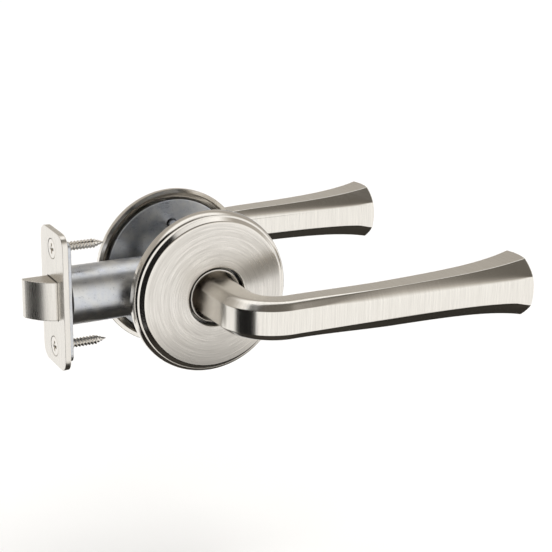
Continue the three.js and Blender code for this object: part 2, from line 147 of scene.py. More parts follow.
FACEPLATE = Sizes(height=57, width=25.4, thickness=2.4, corner=6.35)
BACKPLATE = Sizes(height=50, width=22, thickness=1.5, corner=4)
FACE_BACK = -BACKSET + FACEPLATE.thickness
BACKPLATE_BACK = FACE_BACK + GAP + BACKPLATE.thickness
LATCH_SCREW_SPACING = 41.3
LATCH_SCREW = Sizes(head=4, head_depth=2.1, shank=2, length=22, thread=0.55, pitch=1.4, point=5.0)
CASE = Sizes(outer=11.9, inner=10.9, end=-16.5, wall=1.5, rod_hole=3, seam=0.12)
CHEEK = Sizes(inner=5.4, outer=6.6, half_height=9.8, end=10.5, hole=7.6)
BRIDGE = Sizes(thickness=1.5, top=7)
BOLT = Sizes(throw=11, half_height=8, half_width=5.7, back=-44, nose_width=2, rod=2.5, rod_end=-24)
ROD_COLLAR = Sizes(radius=4, start=-41.7, end=-40.7)
YOKE = Sizes(front=-43.6, back=-42.1, bottom=-6, half_width=4.2)
YOKE_BAR = Sizes(half_gap=2.5, bottom=8.4, top=9.6)
HOOK = Sizes(front=-2.6, back=-0.5, top=11.6)
CAM = Sizes(flange=8.1, flange_half=5.1, journal=7.3, journal_half=7.2)
CAM_ARM = Sizes(half=2, reach=10.9, tip=1.2, angle=27.5)
LATCH_SPRING = Sizes(radius=4.4, wire=0.45, turns=7)

# ---------- outlines ----------

SEGMENTS = Sizes(thread=48, hole=64, barrel=96, plate=128, rose=192)
LONGEST_REACH = 0.46


def lerp(a, b, share):
    return a + (b - a) * share


def smooth_step(value, low, high):
    share = min(1, max(0, (value - low) / (high - low)))
    return share * share * (3 - 2 * share)


def curve_weights(t):
    return (1 - t) ** 2, 2 * t * (1 - t), t * t


def quadratic(start, control, end, steps):
    """Points of a quadratic curve, both ends included."""
    points = []
    for i in range(steps + 1):
        weights = curve_weights(i / steps)
        points.append(tuple(sum(w * p[k] for w, p in zip(weights, (start, control, end))) for k in range(2)))
    return points


def rounded(corners, radius, steps=4, side_steps=1, closed=True):
    """An outline with its corners rounded, and its straight sides split into side_steps.

    radius may be a list instead, of how far each corner reaches: one number or a (before, after) pair."""
    count = len(corners)
    outline = []
    for i, corner in enumerate(corners):
        here = Vector(corner)
        if not closed and i in (0, count - 1):
            outline.append(tuple(here))
            continue
        sides = [Vector(corners[i - 1]) - here, Vector(corners[(i + 1) % count]) - here]
        into, out = (side.normalized() for side in sides)
        if isinstance(radius, list):
            reach = radius[i] if isinstance(radius[i], tuple) else (radius[i], radius[i])
        else:
            full = radius * math.tan((math.pi - into.angle(out)) / 2)
            reach = [min(full, LONGEST_REACH * side.length) for side in sides]
        outline += quadratic(here + into * reach[0], here, here + out * reach[1], steps)
    if side_steps == 1:
        return outline
    split = []
    for i in range(0, len(outline), steps + 1):
        split += outline[i : i + steps + 1]
        last = split[-1]
        following = outline[(i + steps + 1) % len(outline)]
        for k in range(1, side_steps):
            split.append(tuple(lerp(a, b, k / side_steps) for a, b in zip(last, following)))
    return split


def rectangle(a, b):
    """The corners of a rectangle about the middle, from its half sizes."""
    return [(-a, -b), (a, -b), (a, b), (-a, b)]


def polar(radius, turn):
    return radius * math.cos(turn), radius * math.sin(turn)


def around_y(radius, turn, height):
    return radius * math.cos(turn), height, radius * math.sin(turn)


def circle(radius, height, segments=SEGMENTS.thread):
    return [around_y(radius, 2 * math.pi * i / segments, height) for i in range(segments)]


# ---------- solids ----------


def face_outwards(made):
    work = bmesh.new()
    work.from_mesh(made.data)
    bmesh.ops.recalc_face_normals(work, faces=work.faces)
    work.to_mesh(made.data)
    work.free()


def solid(points, faces):
    """A closed mesh in millimetres, with its faces turned outwards."""
    mesh = bpy.data.meshes.new("solid")
    mesh.from_pydata(points, [], faces)
    made = bpy.data.objects.new("solid", mesh)
    SCENE.collection.objects.link(made)
    face_outwards(made)
    return made


def band(near, far, count):
    """Faces between two rings of points, which start at near and far."""
    return [(near + i, near + (i + 1) % count, far + (i + 1) % count, far + i) for i in range(count)]


def fan(ring, apex, count):
    return [(ring + i, ring + (i + 1) % count, apex) for i in range(count)]


def skin(rings, end_apex=None):
    """A skin over rings of equal length, closed by flat caps, or by an apex at its end."""
    count = len(rings[0])
    points = [tuple(p) for ring in rings for p in ring]
    last = len(points) - count
    faces = []
    for near in range(0, last, count):
        faces += band(near, near + count, count)
    faces.append(tuple(range(count - 1, -1, -1)))
    if end_apex is None:
        faces.append(tuple(range(last, last + count)))
    else:
        faces += fan(last, len(points), count)
        points.append(tuple(end_apex))
    return solid(points, faces)


def lathe(profile, segments):
    """A profile of (radius, height) points turned about Y.

    It closes on itself, unless it starts and ends on the axis."""
    on_axis = profile[0][0] == 0
    rows = profile[1:-1] if on_axis else profile
    points = [point for radius, height in rows for point in circle(radius, height, segments)]
    faces = []
    for row in range(len(rows) - 1 if on_axis else len(rows)):
        faces += band(row * segments, (row + 1) % len(rows) * segments, segments)
    if on_axis:
        for row, (_, height) in ((0, profile[0]), (len(rows) - 1, profile[-1])):
            faces += fan(row * segments, len(points), segments)
            points.append((0, height, 0))
    return solid(points, faces)


def settle(made):
    """Applies the modifiers."""
    graph = bpy.context.evaluated_depsgraph_get()
    mesh = bpy.data.meshes.new_from_object(made.evaluated_get(graph))
    made.modifiers.clear()
    made.data = mesh
    return made


def combine(operation, first, *others):
    for other in others:
        modifier = first.modifiers.new("shape", "BOOLEAN")
        modifier.operation = operation
        modifier.solver = "EXACT"
        modifier.object = other
    settle(first)
    for other in others:
        bpy.data.objects.remove(other)
    return first


def moved(made, *matrices):
    for matrix in matrices:
        made.data.transform(matrix)
    return made


def quarter_turn(axis, turns=1):
    return Matrix.Rotation(turns * math.pi / 2, 4, axis)


def on_door(made, side):
    """Puts a piece made in the half frame on its side of the door."""
    if side == "inside":
        return moved(made, Matrix.Translation((0, DOOR_HALF, 0)))
    return moved(made, Matrix.Scale(-1, 4, (0, 1, 0)), Matrix.Translation((0, -DOOR_HALF, 0)))


def shade(made, sharp_angle):
    mesh = made.data
    mesh.shade_smooth()
    mesh.set_sharp_from_angle(angle=math.radians(sharp_angle))
    weighted = made.modifiers.new("normals", "WEIGHTED_NORMAL")
    weighted.keep_sharp = True
    weighted.weight = 80
    return settle(made)


def add_piece(node, made, materials, sharp_angle=32, rides=True):
    """Puts a finished solid in place of its CAD node, on the node's body unless it bends between two."""
    moved(made, Matrix.Scale(MM, 4))
    face_outwards(made)
    for material in materials:
        made.data.materials.append(material)
    shade(made, sharp_angle)
    made.name = f"{node}_detail"
    made.data.name = made.name
    if rides:
        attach(made, frame["nodes"][node]["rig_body"])
    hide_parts(node)
    return made


def set_grain(made, grain_at):
    """Stores each point's place in the grain, in millimetres, and the direction across the brush marks."""
    mesh = made.data
    grain = mesh.attributes.new("grain", "FLOAT_VECTOR", "POINT")
    comb = mesh.attributes.new("comb", "FLOAT_VECTOR", "POINT")
    for i, vertex in enumerate(mesh.vertices):
        grain.data[i].vector, comb.data[i].vector = grain_at(vertex.co)
    return made


def mirror_comb(made):
    """Turns the stored directions with a piece that on_door mirrored."""
    for item in made.data.attributes["comb"].data:
        item.vector.y = -item.vector.y


# ---------- shader helper ----------

NOISE_LOW = 0.3
NOISE_HIGH = 0.7


class Shader:
    """Adds nodes to a tree. Any input may be a number, a tuple or another node's output."""

    def __init__(self, tree):
        self.tree = tree
        tree.nodes.clear()

    def node(self, kind, inputs=None, **settings):
        made = self.tree.nodes.new(kind)
        for key, value in settings.items():
            setattr(made, key, value)
        for key, value in (inputs or {}).items():
            self.put(made.inputs[key], value)
        return made

    def put(self, socket, value):
        if isinstance(value, bpy.types.NodeSocket):
            self.tree.links.new(value, socket)
        else:
            socket.default_value = (*value, 1) if socket.type == "RGBA" else value

    def attribute(self, name):
        return self.node("ShaderNodeAttribute", attribute_name=name).outputs["Vector"]

    def math(self, operation, a, b=0.0, clamp=False):
        return self.node("ShaderNodeMath", {0: a, 1: b}, operation=operation, use_clamp=clamp).outputs[0]

    def times(self, a, b):
        return self.math("MULTIPLY", a, b)

    def plus(self, a, b, share=None):
        """The sum of a and b, or of a and a share of b."""
        return self.math("ADD", a, b if share is None else self.times(b, share))

    def scaled(self, place, scales):
        return self.node("ShaderNodeVectorMath", {0: place, 1: scales}, operation="MULTIPLY").outputs[0]

    def remap(self, value, low, high, to_low=0.0, to_high=1.0, kind="LINEAR"):
        inputs = {"Value": value, "From Min": low, "From Max": high, "To Min": to_low, "To Max": to_high}
        return self.node("ShaderNodeMapRange", inputs, interpolation_type=kind).outputs[0]

    def smooth(self, value, low, high, to_low=0.0, to_high=1.0):
        return self.remap(value, low, high, to_low, to_high, "SMOOTHSTEP")

    def spread(self, noise, to_low, to_high):
        """A noise, which mostly stays between NOISE_LOW and NOISE_HIGH, over a range of its own."""
        return self.remap(noise, NOISE_LOW, NOISE_HIGH, to_low, to_high)

    def noise(self, place, scale, detail=2.0, roughness=0.5):
        """Noise at one scale, or at a scale for each axis."""
        if isinstance(scale, tuple):
            place = self.scaled(place, scale)
            scale = 1.0
        inputs = {"Vector": place, "Scale": scale, "Detail": detail, "Roughness": roughness}
        return self.node("ShaderNodeTexNoise", inputs).outputs["Fac"]

    def mix(self, share, a, b):
        return self.node("ShaderNodeMix", {0: share, 6: a, 7: b}, data_type="RGBA").outputs[2]

    def ramp(self, value, stops):
        made = self.node("ShaderNodeValToRGB", {0: value})
        elements = made.color_ramp.elements
        while len(elements) < len(stops):
            elements.new(0.5)
        for element, (place, colour) in zip(elements, stops):
            element.position = place
            element.color = (*colour, 1)
        return made.outputs[0]


def new_material(name):
    made = bpy.data.materials.new(name)
    made.use_nodes = True
    return made, Shader(made.node_tree)


def finish_material(shader, base, roughness, height, bump, metallic=1.0, **constants):
    """The surface shader. bump is (strength, distance in millimetres)."""
    strength, distance = bump
    relief = {"Height": height, "Strength": strength, "Distance": distance * MM}
    normal = shader.node("ShaderNodeBump", relief).outputs[0]
    looks = {"Base Color": base, "Roughness": roughness, "Normal": normal, "Metallic": metallic}
    surface = shader.node("ShaderNodeBsdfPrincipled", looks | constants)
    shader.node("ShaderNodeOutputMaterial", {0: surface.outputs[0]})
    return surface


# ---------- materials ----------

CAST_TONES = (0.705, 0.672, 0.618), (0.80, 0.768, 0.71)
SPUN_TONES = (0.58, 0.55, 0.505), (0.80, 0.765, 0.71)
# Painted shade at the foot of the neck: its colour, how strong it is, and the heights above the door's face
# where it is full and where it has faded out.
NECK_SHADE = Sizes(tone=(0.10, 0.08, 0.065), share=0.86, full_height=10, end_height=22)
# How fine the brushing is across its marks, and along them.
FINE_MARKS = (7.0, 0.10, 0.10)
BROAD_MARKS = (1.6, 0.035, 0.035)
SCRATCHES = (3.4, 0.16, 0.16)
HANDLING = (0.055, 0.07, 0.07)


def in_millimetres(s):
    place = s.node("ShaderNodeTexCoord").outputs["Object"]
    return s.scaled(place, (1 / MM, 1 / MM, 1 / MM))


def painted_neck_shade(s):
    """Painted shade at the foot of the neck, most on the side towards the latch."""
    parts = s.node("ShaderNodeSeparateXYZ", {0: in_millimetres(s)}).outputs
    height = s.math("SUBTRACT", s.math("ABSOLUTE", parts[1]), DOOR_HALF)
    low = s.smooth(height, NECK_SHADE.full_height, NECK_SHADE.end_height, 1.0, 0.0)
    high = s.smooth(height, COLLAR.top - 0.4, COLLAR.top + 0.3)
    side = s.smooth(parts[0], -8, 6, 1.0, 0.30)
    return s.times(s.times(low, high), side)


def brushed_nickel(name, tones, roughness, stretch, paints_neck_shade=False):
    """Satin nickel. Its brush marks run where the grain's first number is constant."""
    material, s = new_material(name)
    grain = s.attribute("grain")
    turn = {"vector_type": "VECTOR", "convert_from": "OBJECT", "convert_to": "WORLD"}
    comb = s.node("ShaderNodeVectorTransform", {"Vector": s.attribute("comb")}, **turn).outputs[0]
    fine = s.noise(grain, FINE_MARKS, 3.0, 0.65)
    broad = s.noise(grain, BROAD_MARKS, 2.0, 0.6)
    scratch = s.noise(grain, SCRATCHES, 1.0)
    handled = s.noise(grain, HANDLING)
    marks = s.plus(s.times(fine, 0.6), broad, 0.4)
    deep = s.smooth(scratch, 0.62, 0.72)
    tone = s.math("SUBTRACT", s.remap(marks, 0.35, 0.65), s.times(deep, 0.35), clamp=True)
    base = s.mix(tone, *tones)
    if paints_neck_shade:
        # Paints shade over the foot of the neck, darker on the side towards the latch.
        base = s.mix(s.times(painted_neck_shade(s), NECK_SHADE.share), base, NECK_SHADE.tone)
    rough = s.plus(s.spread(marks, roughness + 0.04, roughness - 0.04), s.spread(handled, -0.02, 0.02))
    height = s.plus(marks, deep, -0.5)
    surface = finish_material(s, base, rough, height, (0.1, 0.02), Anisotropic=stretch)
    s.put(surface.inputs["Tangent"], comb)
    return material


def polished_nickel():
    """The steps of the rose: the same plate, buffed until only a faint turning mark is left."""
    material, s = new_material("polished_nickel")
    grain = s.attribute("grain")
    turning = s.noise(grain, (5.0, 0.05, 0.05), 2.0, 0.5)
    haze = s.noise(grain, (0.5, 0.12, 0.12), 3.0, 0.55)
    base = s.mix(turning, (0.70, 0.665, 0.61), (0.77, 0.735, 0.68))
    rough = s.plus(s.spread(haze, 0.09, 0.15), turning, 0.04)
    finish_material(s, base, rough, turning, (0.05, 0.01))
    return material


def plated_steel():
    """Bright zinc plate: clouded, with dull specks and the faint grain of cold-rolled steel."""
    material, s = new_material("zinc_plated_steel")
    place = in_millimetres(s)
    cloud = s.noise(place, 0.16, 3.0, 0.55)
    rolled = s.noise(place, (0.25, 0.25, 3.2), 3.0, 0.6)
    speck = s.smooth(s.noise(place, 1.5), 0.60, 0.70)
    clear = s.mix(s.remap(cloud, 0.35, 0.65), (0.53, 0.55, 0.59), (0.66, 0.66, 0.645))
    base = s.mix(s.times(speck, 0.5), clear, (0.40, 0.41, 0.42))
    rough = s.plus(s.spread(cloud, 0.27, 0.38), speck, 0.15)
    rough = s.plus(rough, s.spread(rolled, -0.04, 0.04))
    finish_material(s, base, rough, rolled, (0.12, 0.02))
    return material


def spring_wire():
    """Oiled spring steel, dark grey with drawn marks and brown traces."""
    material, s = new_material("oiled_spring_steel")
    place = in_millimetres(s)
    drawn = s.noise(place, 2.6, 3.0, 0.6)
    trace = s.smooth(s.noise(place, 0.35), 0.45, 0.7)
    steel = s.mix(drawn, (0.17, 0.17, 0.175), (0.30, 0.295, 0.29))
    base = s.mix(s.times(trace, 0.6), steel, (0.20, 0.155, 0.11))
    rough = s.plus(s.spread(drawn, 0.24, 0.40), trace, 0.08)
    finish_material(s, base, rough, drawn, (0.15, 0.02))
    return material


def black_oxide():
    """Blackened steel, rubbed grey here and there by the key."""
    material, s = new_material("black_oxide_steel")
    place = in_millimetres(s)
    grit = s.noise(place, 3.0, 3.0, 0.6)
    rubbed = s.smooth(s.noise(place, 0.9), 0.55, 0.68)
    black = s.mix(grit, (0.016, 0.016, 0.018), (0.035, 0.034, 0.035))
    base = s.mix(s.times(rubbed, 0.7), black, (0.18, 0.175, 0.17))
    rough = s.plus(s.spread(grit, 0.40, 0.56), rubbed, -0.12)
    finish_material(s, base, rough, grit, (0.2, 0.02), 0.75)
    return material


def moulded_nylon():
    """Natural nylon, off-white, greased and slightly soiled."""
    material, s = new_material("moulded_nylon")
    place = in_millimetres(s)
    cloud = s.noise(place, 0.2, 3.0, 0.5)
    grain = s.noise(place, 4.0)
    soil = s.smooth(s.noise(place, 0.5, 3.0, 0.6), 0.55, 0.75, 0.0, 0.45)
    clean = s.mix(cloud, (0.74, 0.71, 0.62), (0.84, 0.82, 0.75))
    base = s.mix(soil, clean, (0.46, 0.41, 0.33))
    rough = s.plus(s.spread(grain, 0.42, 0.52), soil, -0.2)
    finish_material(s, base, rough, grain, (0.2, 0.03), 0.0)
    return material


# ---------- lever ----------

# Between which places along the grip its corners change.
TOP_CRISPS = (14, 62)
SLANT_SOFTENS = (22, 62)
END_CRISPS = (113, 120.5)
DOME_SHARES = (0.93, 0.84, 0.74, 0.63, 0.52, 0.41, 0.3, 0.2, 0.1)
GRIP_STEPS = 52
BEND_STEPS = 28
NECK_STEPS = 22


def grip_section(x):
    along = (x - BEND_RADIUS) / (LEVER_REACH - BEND_RADIUS)

    def flare(start, gentle, steep, power):
        return start + gentle * along**2 + steep * along**power

    return {
        "height": flare(8, 1.4, 2.9, 7),
        "depth": flare(6.5, 3.2, 3.2, 6),
        "front": flare(4.85, 0.35, 1.15, 8),
        "top": flare(3.9, 1.2, 1.05, 8),
    }


def grip_height(x):
    return GRIP_HEIGHT + GRIP_RISE * smooth_step(x, BEND_RADIUS, BEND_RADIUS + GRIP_RISE_LENGTH)


def octagon(section, softness):
    """The section's outline as (outward, up) points. softness is how far each rounded corner reaches."""
    depth, height, front, top = (section[key] for key in ("depth", "height", "front", "top"))
    corners = [(depth, front), (top, height), (-top, height), (-depth, front)]
    corners += [(-x, -z) for x, z in corners]
    slant = math.hypot(depth - top, height - front)
    on_top, on_front = softness["top"], softness["front"]
    on_slant = min(softness["slant"], 0.94 * slant - on_top)
    half = [(on_front, on_slant), (on_top, on_top), (on_top, on_top), (on_slant, on_front)]
    return rounded(corners, half * 2, steps=6, side_steps=4)


def softness_at(x):
    """How soft the corners are: full at the neck, a long blend along the slanted faces, then crisp."""
    blend = smooth_step(x, *SLANT_SOFTENS) * (1 - smooth_step(x, *END_CRISPS))
    return {
        "top": lerp(1.5, 0.22, smooth_step(x, *TOP_CRISPS)),
        "front": lerp(0.3, 1.3, blend),
        "slant": lerp(0.3, 6.5, blend),
    }


def stand(outline, centre, away):
    """An (outward, up) outline stood at a centre in the half frame, with its outward side towards away."""
    return [(centre[0] + away[0] * out, centre[1] + away[1] * out, up) for out, up in outline]


def grip_points(x):
    return stand(octagon(grip_section(x), softness_at(x)), (x, grip_height(x)), (0, 1))


def end_sphere_centre():
    reach = math.sqrt(END_SPHERE.radius**2 - END_SPHERE.corner**2)
    return Vector((LEVER_REACH - reach, grip_height(LEVER_REACH), 0))


def on_sphere(centre, offset):
    """The point of the domed end at a given (Y, Z) offset from its middle."""
    reach = math.sqrt(END_SPHERE.radius**2 - offset[0] ** 2 - offset[1] ** 2)
    return Vector((centre.x + reach, centre.y + offset[0], offset[1]))


def end_edge(centre):
    """Where each line along the grip meets the domed end."""
    reach = [LEVER_REACH] * len(grip_points(LEVER_REACH))
    for _ in range(4):
        for i, x in enumerate(reach):
            point = grip_points(x)[i]
            reach[i] = on_sphere(centre, (point[1] - centre.y, point[2])).x
    return reach


def grip_rings(centre):
    """Rings from the bend to the rounded edge of the domed end, then over the dome."""
    edge = END_SPHERE.edge
    reach = end_edge(centre)
    rings = []
    for step in range(1, GRIP_STEPS + 1):
        share = step / GRIP_STEPS
        rings.append([grip_points(lerp(BEND_RADIUS, end - edge, share))[i] for i, end in enumerate(reach)])
    side = [Vector(point) for point in rings[-1]]
    tips = [Vector(grip_points(end)[i]) for i, end in enumerate(reach)]
    offsets = [Vector((tip.y - centre.y, tip.z)) for tip in tips]
    inner = [on_sphere(centre, q * (1 - edge / q.length)) for q in offsets]
    for t in (0.25, 0.5, 0.75, 1.0):
        weights = curve_weights(t)
        rings.append([a * weights[0] + b * weights[1] + c * weights[2] for a, b, c in zip(side, tips, inner)])
    return rings + [[on_sphere(centre, q * share) for q in offsets] for share in DOME_SHARES]


def foot_rings(angles):
    """Rings from the bottom of the square socket, round the journal and up to the collar's top."""

    def square(half, height):
        reach = [half / max(abs(math.cos(a)), abs(math.sin(a))) for a in angles]
        return [(-r * math.cos(a), height, r * math.sin(a)) for r, a in zip(reach, angles)]

    end, journal, collar = JOURNAL.end, JOURNAL.radius, COLLAR.radius
    profile = [
        (journal - 0.4, end),
        (journal, end + 0.3),
        (journal, GROOVE.bottom),
        (GROOVE.radius, GROOVE.bottom),
        (GROOVE.radius, GROOVE.top),
        (journal, GROOVE.top),
        (journal, COLLAR.bottom),
        (collar - 0.3, COLLAR.bottom),
        (collar, COLLAR.bottom + 0.3),
        (collar, COLLAR.top - COLLAR.bevel),
        (collar - 0.12, COLLAR.top - 0.1),
        (collar - COLLAR.bevel, COLLAR.top),
    ]
    rings = [square(SQUARE_HOLE_HALF, SOCKET_DEPTH), square(SQUARE_HOLE_HALF, end + 0.4)]
    rings.append(square(SQUARE_HOLE_HALF + 0.3, end))
    for radius, height in profile:
        rings.append([(-radius * math.cos(a), height, radius * math.sin(a)) for a in angles])
    return rings


def neck_rings():
    """The neck, which spreads from its octagon into the collar's circle at its foot, and the bend."""
    crowded_below = 1.7
    neck = octagon(NECK_SECTION, softness_at(0))
    rings = []
    for step in range(NECK_STEPS):
        height = lerp(COLLAR.top, BEND_START, (step / NECK_STEPS) ** crowded_below)
        share = math.exp(-(height - COLLAR.top) / FLARE.fade)
        spread = []
        for out, up in neck:
            scale = lerp(1, FLARE.radius / math.hypot(out, up), share)
            spread.append((out * scale, up * scale))
        rings.append(stand(spread, (0, height), (-1, 0)))
    grip_start = grip_section(BEND_RADIUS)
    for step in range(BEND_STEPS + 1):
        share = step / BEND_STEPS
        turn = share * math.pi / 2
        away = (-math.cos(turn), math.sin(turn))
        centre = (BEND_RADIUS * (1 + away[0]), BEND_START + BEND_RADIUS * away[1])
        section = {key: lerp(NECK_SECTION[key], grip_start[key], share) for key in NECK_SECTION}
        rings.append(stand(octagon(section, softness_at(0)), centre, away))
    return rings


def lever_grain(centre):
    bend_length = BEND_RADIUS * math.pi / 2

    def grain_at(p):
        if p.x > LEVER_REACH - 3 and (p - centre).length > END_SPHERE.radius - 0.02:
            return (p.y, p.z, 0), (0, 1, 0)
        if p.x >= BEND_RADIUS:
            return (BEND_START + bend_length + p.x - BEND_RADIUS, p.y - grip_height(p.x), p.z), (1, 0, 0)
        if p.y <= BEND_START:
            return (p.y, -p.x, p.z), (0, 1, 0)
        left = BEND_RADIUS - p.x
        rise = p.y - BEND_START
        turn = math.atan2(rise, left)
        out = math.hypot(rise, left) - BEND_RADIUS
        return (BEND_START + BEND_RADIUS * turn, out, p.z), (math.sin(turn), math.cos(turn), 0)

    return grain_at


def build_lever(side, cast_nickel):
    centre = end_sphere_centre()
    neck = neck_rings()
    angles = [math.atan2(z, -x) for x, _, z in neck[0]]
    rings = foot_rings(angles) + neck + grip_rings(centre)
    made = skin(rings, end_apex=centre + Vector((END_SPHERE.radius, 0, 0)))
    hole = SCREW_HOLE.radius
    tool = lathe([(0, -9), (hole, -9), (hole, -2), (0, -2)], 40)
    moved(tool, quarter_turn("X"), Matrix.Translation((0, SCREW_HOLE.height, 0)))
    combine("DIFFERENCE", made, tool)
    set_grain(made, lever_grain(centre))
    on_door(made, side)
    if side == "outside":
        mirror_comb(made)
    add_piece(f"{side}_lever", made, [cast_nickel], sharp_angle=40)


# ---------- rose ----------


def rose_profile():
    radius, hole, top = ROSE.radius, ROSE.hole, ROSE.height
    rim = [(radius - ROSE.rim, 0), (radius - 0.15, 0), (radius, 0.15), (radius, 1.6)]
    lower_step = quadratic((radius - 0.02, 1.9), (33.8, 3.5), (33.0, 4.38), 10)
    ledge = quadratic((32.95, 4.45), (32.78, 4.74), (32.1, 4.82), 5)
    upper_step = [(32.0, 4.95)] + quadratic((31.0, 6.45), (30.72, 6.95), DISC_EDGE, 7)[:-1]
    crown = quadratic(DISC_EDGE, (21, 9), (hole + 0.5, top), 20)
    mouth = [(hole + 0.25, top - 0.03), (hole + 0.06, top - 0.15), (hole, top - 0.4), (hole, 8)]
    underside = [(18, 7.7), (24, 7.1), (28.6, 5.5), (30.4, 4), (31.9, 2.4)]
    return rim + lower_step + ledge + upper_step + crown + mouth + underside


def rose_grain(p):
    radius = math.hypot(p.x, p.z)
    across = (p.x / radius, 0, p.z / radius)
    around = 25
    return (radius, across[0] * around, across[2] * around), across


def build_rose(side, spun_nickel, polished):
    made = lathe(rose_profile(), SEGMENTS.rose)
    for face in made.data.polygons:
        radius = math.hypot(face.center.x, face.center.z)
        on_disc = ROSE.hole + 0.3 < radius < DISC_EDGE[0] and face.center.y > DISC_EDGE[1]
        face.material_index = 0 if on_disc else 1
    set_grain(made, rose_grain)
    on_door(made, side)
    add_piece(f"{side}_rose", made, [spun_nickel, polished], sharp_angle=28)


# ---------- shapes for the hardware ----------


def across_x(a, b, height):
    return height, a, b


def across_y(a, b, height):
    return a, height, b


def across_z(a, b, height):
    return a, b, height


def soften(made, edge):
    """Rounds the sharp edges of a plain solid."""
    bevel = made.modifiers.new("edges", "BEVEL")
    bevel.width = edge
    bevel.segments = 3
    bevel.limit_method = "ANGLE"
    bevel.angle_limit = math.radians(40)
    return settle(made)


def slab(place, outline, low, high, edge=0.15):
    """A flat outline with a thickness, laid across one axis."""
    made = skin([[place(a, b, height) for a, b in outline] for height in (low, high)])
    return soften(made, edge) if edge else made


def block(xs, ys, zs, edge=0):
    outline = [(xs[0], zs[0]), (xs[1], zs[0]), (xs[1], zs[1]), (xs[0], zs[1])]
    return slab(across_y, outline, ys[0], ys[1], edge)


def turned(corners, edge=0.2, segments=SEGMENTS.hole):
    """A lathe piece whose corners are rounded."""
    return lathe(rounded(corners, edge, 3, closed=corners[0][0] != 0), segments)


def drill(radius, bottom, top, edge=0.2):
    """A tool for a hole with broken edges through a wall between two heights."""
    wide = radius + edge
    profile = [(0, bottom - 1), (wide, bottom - 1), (wide, bottom), (radius, bottom + edge)]
    profile += [(radius, top - edge), (wide, top), (wide, top + 1), (0, top + 1)]
    return lathe(profile, SEGMENTS.hole)


def along_x(made):
    """Lays a piece made about Y along X."""
    return moved(made, quarter_turn("Z", -1))


def one_of_two(made, side, spacing):
    """Puts a piece above the middle, where side is 1, or below it, where side is -1."""
    return moved(made, Matrix.Translation((0, 0, side * spacing / 2)))


def thread_rings(screw, bottom, top, point=0.0):
    """Rings of a screw thread about Y. It runs out at both ends, and may taper to a point at the bottom."""
    rows_per_turn = 10
    tip_share = 0.12
    rows = round((top - bottom) / screw.pitch * rows_per_turn)
    rings = []
    for row in range(rows + 1):
        height = lerp(bottom, top, row / rows)
        run_out = min(1, (height - bottom) / screw.pitch, (top - height) / screw.pitch)
        narrow = min(1, tip_share + (height - bottom) / point) if point else 1
        ring = []
        for i in range(SEGMENTS.thread):
            groove = 1 - abs(2 * ((height / screw.pitch + i / SEGMENTS.thread) % 1) - 1)
            reach = (screw.shank - screw.thread * max(groove, 1 - run_out)) * narrow
            ring.append(around_y(reach, 2 * math.pi * i / SEGMENTS.thread, height))
        rings.append(ring)
    return rings


def cross_recess(made, top, depth, half):
    """Cuts a tapered cross for a screwdriver into a head whose top is at the given height."""
    corners = []
    floor_share, mouth_share, width = 0.5, 1.1, 0.28
    for x in (-1, 1):
        for height, share in ((top - depth, floor_share), (top + 0.3, mouth_share)):
            corners += [(x * half * share, height, z * width * half * (0.6 + 0.4 * share)) for z in (-1, 1)]
    faces = [(0, 1, 3, 2), (4, 6, 7, 5), (0, 4, 5, 1), (2, 3, 7, 6), (0, 2, 6, 4), (1, 5, 7, 3)]
    blades = [solid(corners, faces), moved(solid(corners, faces), quarter_turn("Y"))]
    return combine("DIFFERENCE", made, *blades)


def sweep(path, radius, sides=16):
    """A round wire along a path, with rounded ends."""
    end_width, end_length = 0.6, 0.4
    points = [Vector(point) for point in path]
    last = len(points) - 1
    across = (points[1] - points[0]).orthogonal().normalized()
    turns = [2 * math.pi * k / sides for k in range(sides)]
    rings = []
    for i, point in enumerate(points):
        along = (points[min(i + 1, last)] - points[max(i - 1, 0)]).normalized()
        across = (across - along * across.dot(along)).normalized()
        up = along.cross(across)
        ring = [(across * math.cos(turn) + up * math.sin(turn)) * radius for turn in turns]
        if i == 0:
            rings.append([point + q * end_width for q in ring])
            point = point + along * radius * end_length
        if i == last:
            point = point - along * radius * end_length
        rings.append([point + q for q in ring])
        if i == last:
            rings.append([point + along * radius * end_length + q * end_width for q in ring])
    return skin(rings)


def through_points(points, steps):
    """A smooth path through the points."""
    ends = [points[0] * 2 - points[1], *points, points[-1] * 2 - points[-2]]
    path = []
    for a, b, c, d in zip(ends, ends[1:], ends[2:], ends[3:]):
        for step in range(steps):
            t = step / steps
            slope = (c - a) * t + (a * 2 - b * 5 + c * 4 - d) * t * t + (b * 3 - a - c * 3 + d) * t**3
            path.append(b + slope * 0.5)
    return [*path, points[-1]]


# ---------- what each rose hides ----------


def mounting_plate(bolt_hole):
    """A pressed plate with its cup, a coined ring and two holes for the through bolts."""
    top, coined = PLATE.thickness, PLATE.thickness - COINED_RING.depth
    outer, inner, slope = COINED_RING.outer, COINED_RING.inner, COINED_RING.slope
    corners = [(CUP.hole, CUP.bottom), (CUP.outer, CUP.bottom), (CUP.outer, 0), (PLATE.radius, 0)]
    corners += [(PLATE.radius, top), (outer, top), (outer - slope, coined), (inner + slope, coined)]
    corners += [(inner, top), (CUP.inner, top), (CUP.inner, CUP.floor), (CUP.hole, CUP.floor)]
    bends = [0.3, 1.5, 0.5, 0.3, 0.5, 0.2, 0.2, 0.2, 0.2, 1.1, 0.6, 0.3]
    made = lathe(rounded(corners, bends, 5), SEGMENTS.plate)
    holes = [one_of_two(drill(bolt_hole, 0, top), side, BOLT_SPACING) for side in (-1, 1)]
    return combine("DIFFERENCE", made, *holes)


def spring_cover():
    inner, outer = BUSH.sleeve + GAP, COVER.radius
    corners = [(inner, COVER.bottom), (outer, COVER.bottom), (outer, COVER.top), (inner, COVER.top)]
    return turned(corners, 0.3, SEGMENTS.plate)


def neck_bush():
    corners = [(BUSH.bore, BUSH.bottom), (BUSH.sleeve, BUSH.bottom), (BUSH.sleeve, BUSH.shoulder)]
    corners += [(BUSH.flange, BUSH.shoulder), (BUSH.flange, BUSH.top), (BUSH.bore, BUSH.top)]
    return turned(corners, 0.25, SEGMENTS.plate)


